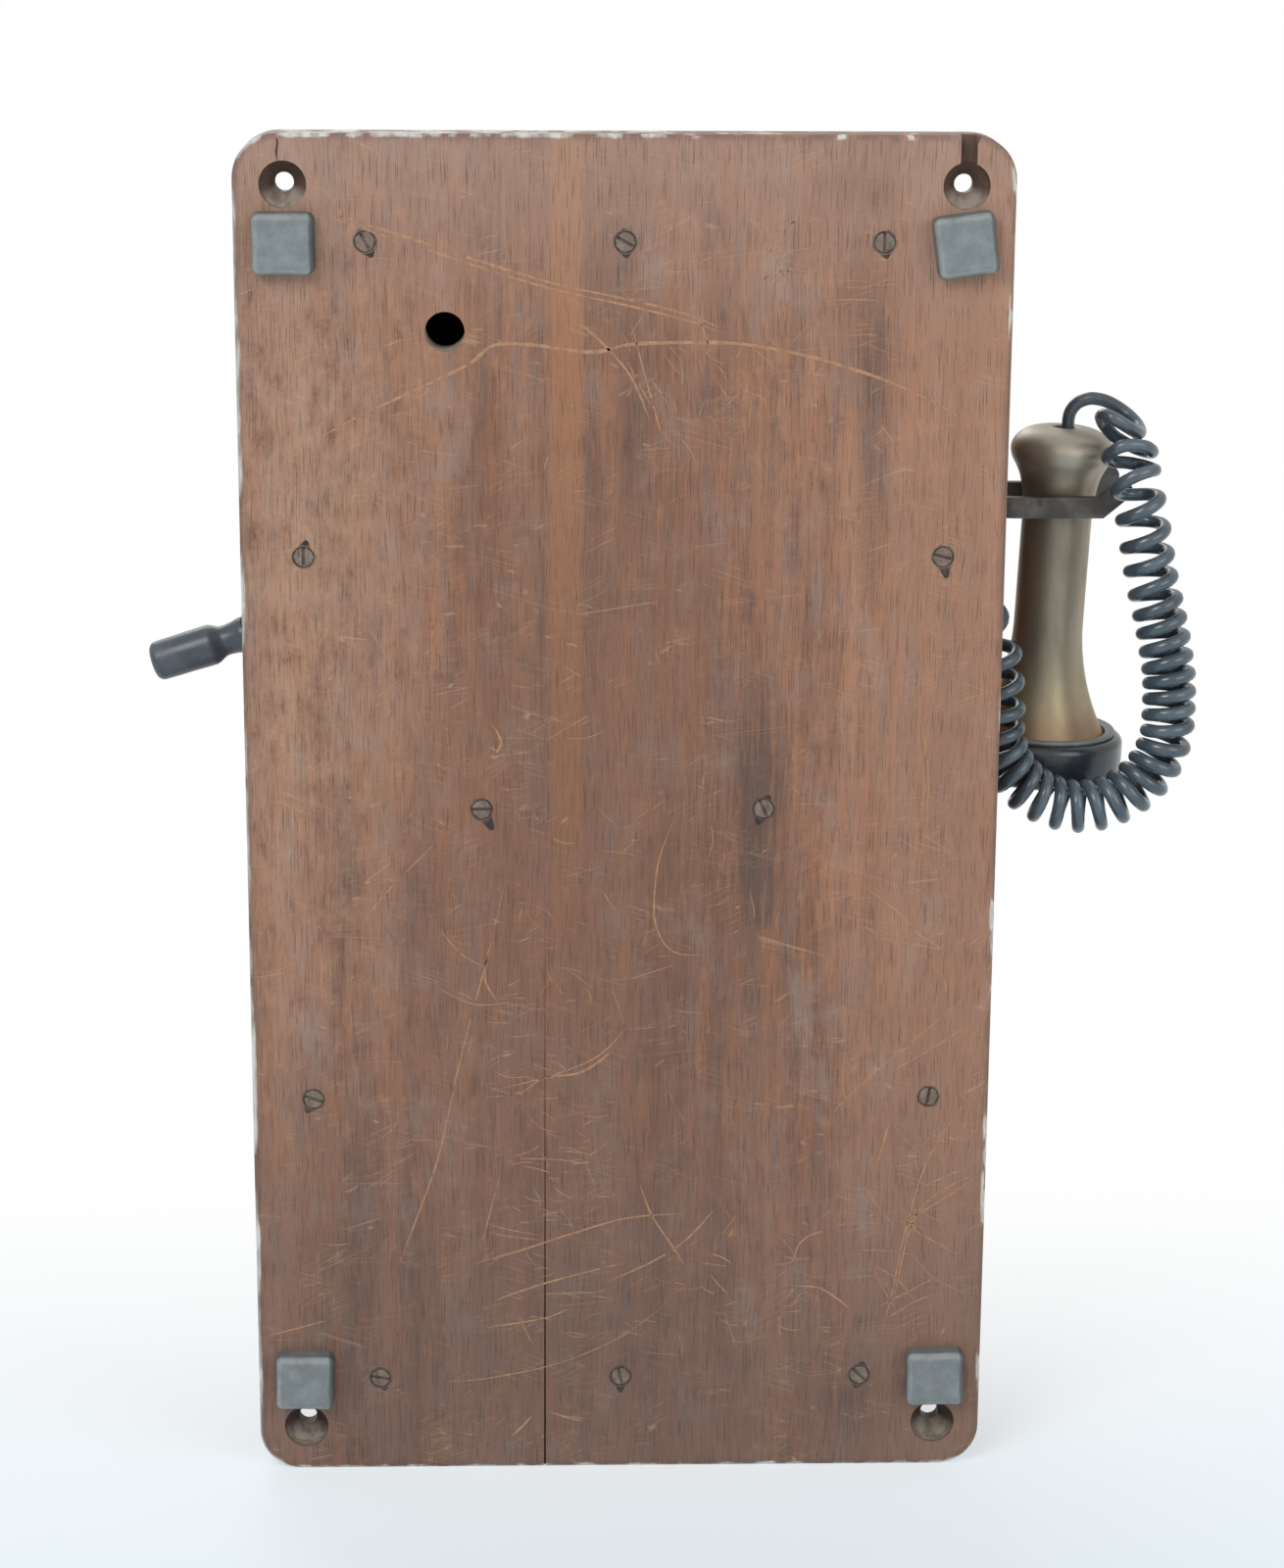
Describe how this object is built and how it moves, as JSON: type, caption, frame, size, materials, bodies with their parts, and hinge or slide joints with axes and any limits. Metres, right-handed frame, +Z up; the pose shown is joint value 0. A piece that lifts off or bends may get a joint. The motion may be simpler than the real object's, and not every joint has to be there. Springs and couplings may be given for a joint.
{
  "type": "wall telephone",
  "caption": "Hand-cranked wooden wall telephone: backboard with rubber pads, hinged case with ringer and magneto, transmitter, switch hook and bell receiver on a curly cord.",
  "frame": {"origin": "middle of the four wall screw holes, on the plane of the backboard's back", "axes": "+Z up, +Y out of the back towards the wall, so the front faces -Y; +X to the crank's side"},
  "size_m": [0.4039, 0.2914, 0.515],
  "materials": {
    "board_wood": "worn reddish-brown varnish with old paint on its edges",
    "case_wood": "satin varnish",
    "screw_steel": "dull",
    "pad_rubber": "matt, dusty",
    "bush_brass": "aged",
    "dark_iron": "dark, satin",
    "magnet_steel": "black lacquer",
    "soft_iron": "dull",
    "cell_jacket": "plain card jacket",
    "coil_winding": "waxed thread",
    "condenser_tin": "satin",
    "black_ebonite": "polished",
    "gong_nickel": "nickel plate, worn",
    "black_paint": "gloss black",
    "receiver_bronze": "aged bronze",
    "tinned_plate": "thin plate",
    "cord_vinyl": "black, satin"
  },
  "bodies": {
    "case": {"backboard_wide_plank": "board_wood", "backboard_narrow_plank": "board_wood", "case_left_side": "case_wood", "case_right_side": "case_wood", "case_top": "case_wood", "case_bottom": "case_wood", "generator_shelf": "case_wood", "back_screws": "screw_steel", "rubber_pads": "pad_rubber", "cord_bushing": "black_ebonite", "crank_bearing_bush": "bush_brass", "hook_slot_plate": "dark_iron", "hook_bracket": "bush_brass", "hook_pivot_pin": "screw_steel", "hook_return_spring": "bush_brass", "switch_springs": "bush_brass", "generator_base": "dark_iron", "generator_magnets": "magnet_steel", "pole_pieces": "soft_iron", "generator_end_plates": "bush_brass", "dry_cells": "cell_jacket", "dry_cell_terminals": "bush_brass", "induction_coil": "coil_winding", "condenser": "condenser_tin", "terminal_strip": "black_ebonite", "binding_posts": "bush_brass", "hinge_leaves_case": "bush_brass", "hinge_pins": "screw_steel", "latch_strike": "bush_brass", "receiver_cord": "cord_vinyl"},
    "door": {"door_panel": "case_wood", "hinge_leaves_door": "bush_brass", "left_gong": "gong_nickel", "right_gong": "gong_nickel", "gong_posts": "gong_nickel", "ringer_frame": "dark_iron", "ringer_coils": "coil_winding", "ringer_magnet": "magnet_steel", "writing_shelf": "case_wood", "shelf_brackets": "case_wood", "transmitter_bracket": "dark_iron", "transmitter_pin": "screw_steel"},
    "clapper": {"ringer_armature": "soft_iron", "clapper": "gong_nickel"},
    "transmitter": {"transmitter_cup": "black_paint", "transmitter_faceplate": "gong_nickel", "mouthpiece": "black_ebonite"},
    "latch": {"latch_knob": "bush_brass", "latch_tongue": "bush_brass"},
    "crank": {"crank_shaft": "screw_steel", "drive_gear": "bush_brass", "crank_arm": "dark_iron", "knob_spindle": "screw_steel"},
    "crank_knob": {"crank_knob": "black_ebonite"},
    "armature": {"armature": "soft_iron", "armature_pinion": "bush_brass"},
    "hook": {"switch_hook": "dark_iron"},
    "receiver": {"receiver_shell": "receiver_bronze", "ear_cap": "black_ebonite", "receiver_diaphragm": "tinned_plate"}
  },
  "joints": [
    {"name": "door_swing", "type": "hinge", "parent": "case", "child": "door", "pos_m": [-0.1268, -0.126, 0], "axis": [0, 0, -1], "range_deg": [0, 95]},
    {"name": "transmitter_tilt", "type": "hinge", "parent": "door", "child": "transmitter", "pos_m": [0, -0.1944, 0.045], "axis": [1, 0, 0], "range_deg": [-20, 20]},
    {"name": "clapper_swing", "type": "hinge", "parent": "door", "child": "clapper", "pos_m": [0, -0.1064, 0.195], "axis": [0, 1, 0], "range_deg": [-4, 4]},
    {"name": "latch_turn", "type": "hinge", "parent": "door", "child": "latch", "pos_m": [0.092, -0.1264, -0.02015], "axis": [0, 1, 0], "range_deg": [0, 90]},
    {"name": "crank_turn", "type": "hinge", "parent": "case", "child": "crank", "pos_m": [0.1, -0.082, 0.11005], "axis": [1, 0, 0], "continuous": true},
    {"name": "knob_spin", "type": "hinge", "parent": "crank", "child": "crank_knob", "pos_m": [0.1364, -0.082, 0.06055], "axis": [0.9542, 0, -0.299], "continuous": true},
    {"name": "armature_spin", "type": "hinge", "parent": "case", "child": "armature", "pos_m": [0.06, -0.082, 0.06205], "axis": [1, 0, 0], "continuous": true},
    {"name": "receiver_lift", "type": "slide", "parent": "case", "child": "receiver", "axis": [-0.7071, 0, 0.7071], "range_m": [0, 0.09], "deforming": ["receiver_cord"]},
    {"name": "hook_swing", "type": "hinge", "parent": "case", "child": "hook", "pos_m": [-0.095, -0.085, 0.11055], "axis": [0, 1, 0], "range_deg": [0, 12]}
  ],
  "couplings": [
    {"joint": "armature_spin", "follows": "crank_turn", "ratio": -4},
    {"joint": "hook_swing", "follows": "receiver_lift", "rad_per_m": 2.327}
  ]
}
